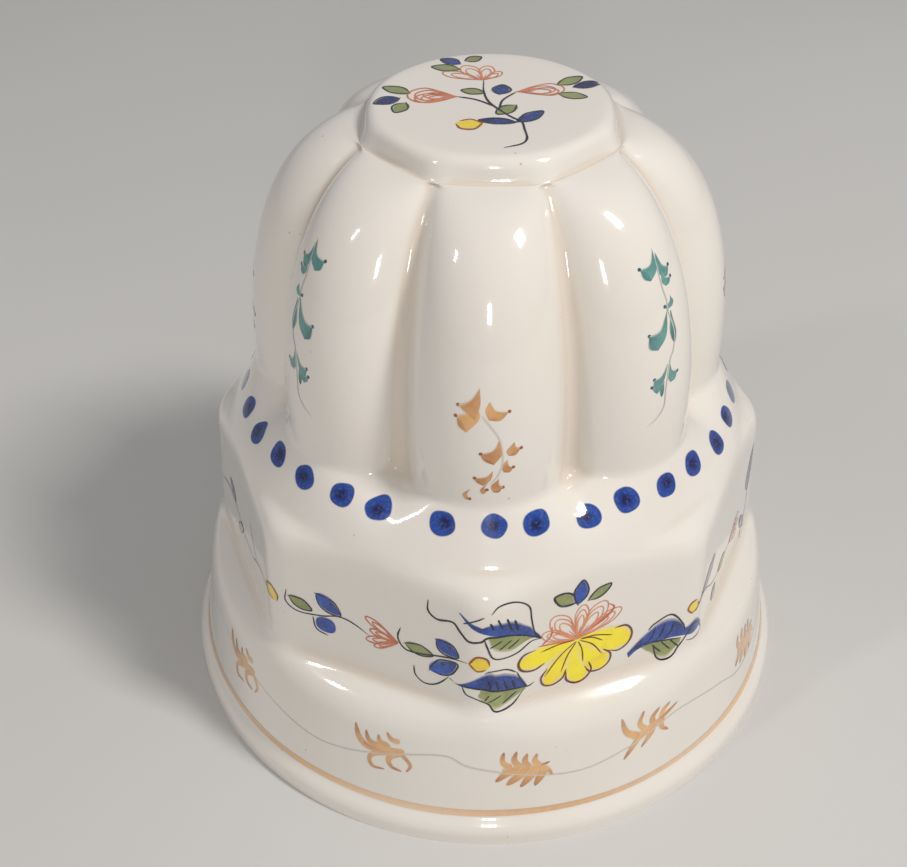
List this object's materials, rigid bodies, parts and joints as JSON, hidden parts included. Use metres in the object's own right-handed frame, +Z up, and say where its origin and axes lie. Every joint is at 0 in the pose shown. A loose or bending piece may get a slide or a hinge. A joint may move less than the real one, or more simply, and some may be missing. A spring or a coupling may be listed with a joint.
{
  "type": "pudding mould",
  "caption": "Tiered pudding mould of glazed earthenware: round lip and skirt, faceted middle tier, lobed crown and flat cap, hollow below, with a hand-painted flower garland.",
  "frame": {"origin": "centre of the rim, in the plane on which the mould stands mouth down", "axes": "+Z runs up through the flat cap along the axis of symmetry, and one lobe of the crown faces -Y"},
  "size_m": [0.16, 0.16, 0.1541],
  "materials": {
    "glaze": "glossy warm white glaze",
    "blue_stain": "cobalt blue brushwork under clear glaze",
    "green_stain": "olive green brushwork under clear glaze",
    "teal_stain": "teal brushwork under clear glaze",
    "yellow_stain": "yellow brushwork under clear glaze",
    "coral_stain": "coral brushwork under clear glaze",
    "ochre_stain": "ochre brushwork under clear glaze",
    "stem_stain": "dark grey line work under clear glaze"
  },
  "bodies": {
    "root": {"mould": "glaze", "blue_paint": "blue_stain", "green_paint": "green_stain", "teal_paint": "teal_stain", "yellow_paint": "yellow_stain", "coral_paint": "coral_stain", "ochre_paint": "ochre_stain", "stem_paint": "stem_stain"}
  },
  "joints": []
}
